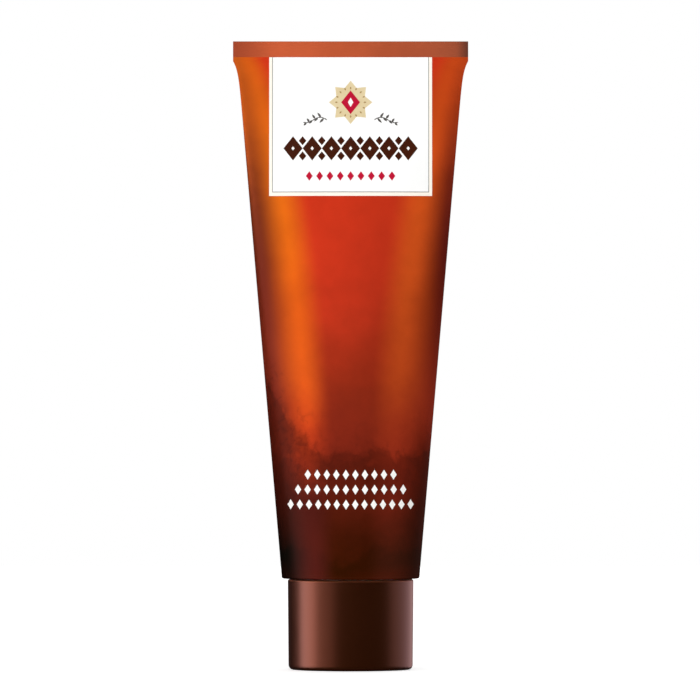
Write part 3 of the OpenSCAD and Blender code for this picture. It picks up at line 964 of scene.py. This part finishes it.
def sprig(side):
    """The outlines of a sprig on one side of the emblem: a stem of short lengths, with leaves."""
    forms = []
    stem = [(6.6 + 6.4 * t, 0.75 * math.sin(5.2 * t) - 0.5) for t in (k / 8 for k in range(9))]
    for (x0, y0), (x1, y1) in zip(stem, stem[1:]):
        turn = math.atan2(y1 - y0, x1 - x0)
        forms.append(leaf(x0 - 0.15, y0, math.hypot(x1 - x0, y1 - y0) + 0.4, 0.3, turn))
    for k, (x, y) in enumerate(stem[1:-1]):
        forms.append(leaf(x, y, 1.75 - 0.11 * k, 0.62, 0.95 if k % 2 else -0.8))
    return [[Vector((side * p.x, p.y)) for p in form] for form in forms]


emblem_star = flat_form("emblem_star", [star(8, 6.0, 4.3)], gold_ink, rings=6)
printed_on(emblem_star, EMBLEM_Z, ON_LABEL)
STACKED = 0.02 * MM
marks("emblem_beads", ring_tree, old_gold_ink, EMBLEM_Z, 16, 4, 0.85, 0.5, ON_LABEL + STACKED,
      Radius=3.95)
marks("emblem_centre", row_tree, crimson_ink, EMBLEM_Z, 1, 4, 5.2, 6.6, ON_LABEL + STACKED, Pitch=1)
marks("emblem_heart", row_tree, white_ink, EMBLEM_Z, 1, 4, 1.5, 2.6, ON_LABEL + 2 * STACKED, Pitch=1)
label_sprigs = flat_form("label_sprigs", sprig(-1) + sprig(1), grey_ink, rings=1)
printed_on(label_sprigs, EMBLEM_Z - 4.4 * MM, ON_LABEL)
FRIEZE_PITCH = 5.3
marks("label_frieze", row_tree, brown_ink, FRIEZE_Z, 7, 4, 5.25, 6.7, Pitch=FRIEZE_PITCH)
marks("frieze_inlays", row_tree, white_ink, FRIEZE_Z, 7, 4, 0.9, 1.15, ON_LABEL + STACKED,
      Pitch=FRIEZE_PITCH)
for name, way in (("frieze_top", 1), ("frieze_foot", -1)):
    marks(name, row_tree, brown_ink, FRIEZE_Z + way * 2.1 * MM, 6, 4, 2.1, 2.5, Pitch=FRIEZE_PITCH)
marks("label_row", row_tree, crimson_ink, ROW_Z, 9, 4, 1.9, 2.6, Pitch=2.85)

# ---- Body ornament ----
# Three rows of white lozenges, printed straight on the sleeve above the cap, each row a little
# longer than the one over it.

BODY_ROWS_Z = SLEEVE_Z + 24.75 * MM
BODY_ROW_STEP = 4.1 * MM
for k, (count, pitch) in enumerate([(10, 2.62), (12, 2.63), (14, 2.54)]):
    marks("body_row_%d" % (k + 1), row_tree, white_ink, BODY_ROWS_Z + (1 - k) * BODY_ROW_STEP,
          count, 4, 1.75, 2.75, INK_T / 2 - INK_SUNK, "printed_laminate", Pitch=pitch)

# ---- Cream ----
# The soft white cream that fills the tube from its hole to a little under the weld. It takes the
# shape of the walls, and its upper face is left wavy by the filling nozzle.

cream_low, cream_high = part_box("cream_fill")
CREAM_GAP = 0.06 * MM
HOLE_R = ORIFICE_R - CREAM_GAP
CREAM_STEPS = 96
CREAM_RINGS = 40
WAVE_H = 1.1 * MM
WAVE_ROOM = 1.2 * MM
JOIN = 0.02 * MM
INSERT_T = 0.5 * MM
NECK_CREAM_R = BORE_R - JOIN - INSERT_T - CREAM_GAP
cream_white, cream_tree, cream_shader, cream_skin = new_material(
    "white shaving cream", 0.5, smudges=0.16, smudge_scale=160.0, grain_scale=700.0, bump=0.5,
    Subsurface_Weight=0.4)
cream_shader.inputs["Subsurface Scale"].default_value = 2.0 * MM
cream_tree.links.new(
    ramp(cream_tree, cream_skin.outputs["Mottle"], [(0.3, ink(236, 236, 232)), (0.7, ink(250, 250, 247))]),
    cream_shader.inputs["Base Color"])


def cream_mesh(material):
    """The cream's closed solid, from the hole up to its wavy upper face."""
    angles = [math.tau * (k + 0.5) / CREAM_STEPS for k in range(CREAM_STEPS)]
    cone_low = BORE_TOP_Z + INSERT_T + CREAM_GAP
    cone_high = LAND_Z + HEAD_WALL + INSERT_T + 2 * CREAM_GAP
    neck = [(HOLE_R, cream_low.z), (HOLE_R, cream_low.z + LIP_T + CREAM_GAP),
            (NECK_CREAM_R, cream_low.z + LIP_T + 2 * CREAM_GAP), (NECK_CREAM_R, cone_low),
            (RIM_IN_R - CREAM_GAP, cone_high), (RIM_IN_R - CREAM_GAP, RIM_TOP_Z + CREAM_GAP)]
    rings = [[Vector((r * math.cos(a), r * math.sin(a), z)) for a in angles] for r, z in neck]
    foot = RIM_TOP_Z + 3 * CREAM_GAP
    top = cream_high.z - WAVE_ROOM
    heights = [foot + (top - foot) * k / CREAM_RINGS for k in range(CREAM_RINGS + 1)]
    rings += [[skin_point(a, z, WALL + CREAM_GAP) for a in angles] for z in heights]
    brim = rings[-1]
    # the upper face: rings drawn in to a point, over which the waves run
    for part in (0.9, 0.7, 0.45, 0.2):
        rings.append([
            Vector((p.x * part, p.y * part, top + WAVE_H * noise.noise(p * 90) * (1 - part)))
            for p in brim])
    bm = bmesh.new()
    loops = [[bm.verts.new(p) for p in ring] for ring in rings]
    for low, high in zip(loops, loops[1:]):
        for k in range(CREAM_STEPS):
            j = (k + 1) % CREAM_STEPS
            bm.faces.new((low[k], low[j], high[j], high[k]))
    bm.faces.new(loops[0])
    bm.faces.new(loops[-1])
    return finished("shaving_cream", bm, material, sharp=50)


cream = cream_mesh(cream_white)
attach(cream, "tube")
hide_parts("cream_fill")

# ---- Camera, light and floor ----
# A long lens in front of the tube, a touch above the middle of its height. The studio is white, with
# three panels that only show in the gloss and two that only light the colour.

camera_data = bpy.data.cameras.new("camera")
camera_data.lens = 470
camera_data.sensor_width = 36
camera_data.clip_end = 100
camera = new_object("camera", camera_data)
FRAME_MM = 193.5
view_distance = FRAME_MM * MM / camera_data.sensor_width * camera_data.lens
ASIDE, ABOVE = -0.17 * MM, 1.5 * MM
camera.location = (ASIDE, -view_distance, TOP_Z / 2 + ABOVE)
camera.rotation_euler = (math.radians(90), 0, 0)
bpy.context.scene.camera = camera
bpy.context.scene.view_settings.view_transform = "Standard"


def softbox(name, place, target, width, height, power, glossy=True, diffuse=True):
    """An area light aimed at a point, which the camera doesn't see."""
    lamp = bpy.data.lights.new(name, "AREA")
    lamp.shape = "RECTANGLE"
    lamp.size, lamp.size_y = width, height
    lamp.energy = power
    light = new_object(name, lamp)
    light.location = place
    aim = Vector(target) - Vector(place)
    light.rotation_euler = aim.to_track_quat("-Z", "Y").to_euler()
    light.visible_camera = False
    light.visible_glossy = glossy
    light.visible_diffuse = diffuse


middle = (0, 0, TOP_Z / 2)
softbox("left strip", (-0.60, -0.04, 0.13), middle, 0.39, 0.75, 8.6, diffuse=False)
softbox("left spill", (-0.47, -0.37, 0.13), middle, 0.45, 0.75, 2.5, diffuse=False)
softbox("right wall", (0.49, 0.26, 0.13), middle, 0.99, 0.6, 3.1, diffuse=False)
softbox("front fill", (-0.2, -1.5, 0.4), middle, 1.2, 0.9, 12.5, glossy=False)
softbox("back fill", (0.4, 1.5, 0.5), middle, 1.2, 0.9, 5.0, glossy=False)

world = bpy.data.worlds.new("studio")
bpy.context.scene.world = world
world.use_nodes = True
sky = world.node_tree
# what the camera sees is white, what lights the tube is soft, and what it reflects is mostly dark
seen = node(sky, "ShaderNodeLightPath")
WHITE, SOFT, FLAGGED = 1.0, 0.55, 0.04
strength = sums(sky, "ADD", sums(sky, "MULTIPLY", seen.outputs["Is Camera Ray"], WHITE - FLAGGED),
                sums(sky, "MULTIPLY", seen.outputs["Is Diffuse Ray"], SOFT - FLAGGED))
surroundings = node(sky, "ShaderNodeBackground", {
    "Color": (1, 1, 1, 1), "Strength": sums(sky, "ADD", strength, FLAGGED)})
sky.links.new(surroundings.outputs[0], sky.nodes["World Output"].inputs["Surface"])

floor_white = bpy.data.materials.new("white floor")
floor_white.use_nodes = True
floor_tree = floor_white.node_tree
floor_shader = floor_tree.nodes["Principled BSDF"]
FLOOR_GLOW = 0.55
floor_shader.inputs["Base Color"].default_value = (0.92, 0.92, 0.92, 1)
floor_shader.inputs["Roughness"].default_value = 0.6
floor_shader.inputs["Emission Color"].default_value = (1, 1, 1, 1)
floor_seen = node(floor_tree, "ShaderNodeLightPath").outputs["Is Camera Ray"]
floor_glow = sums(floor_tree, "MULTIPLY", floor_seen, FLOOR_GLOW)
floor_tree.links.new(floor_glow, floor_shader.inputs["Emission Strength"])
# seen from underneath the floor is clear, so that the cap's flat end can be looked at
beneath = node(floor_tree, "ShaderNodeNewGeometry").outputs["Backfacing"]
clear_below = node(floor_tree, "ShaderNodeMixShader", {
    "Fac": beneath, 1: floor_shader.outputs[0],
    2: node(floor_tree, "ShaderNodeBsdfTransparent").outputs[0]})
floor_tree.links.new(clear_below.outputs[0], floor_tree.nodes["Material Output"].inputs["Surface"])
floor_mesh = bpy.data.meshes.new("floor")
FLOOR_R = 1.2
FLOOR_Z = -0.03 * MM
floor_corners = [(x * FLOOR_R, y * FLOOR_R, FLOOR_Z) for x, y in ((-1, -1), (1, -1), (1, 1), (-1, 1))]
floor_mesh.from_pydata(floor_corners, [], [(0, 1, 2, 3)])
floor_mesh.materials.append(floor_white)
floor = new_object("floor", floor_mesh)
floor.visible_glossy = False
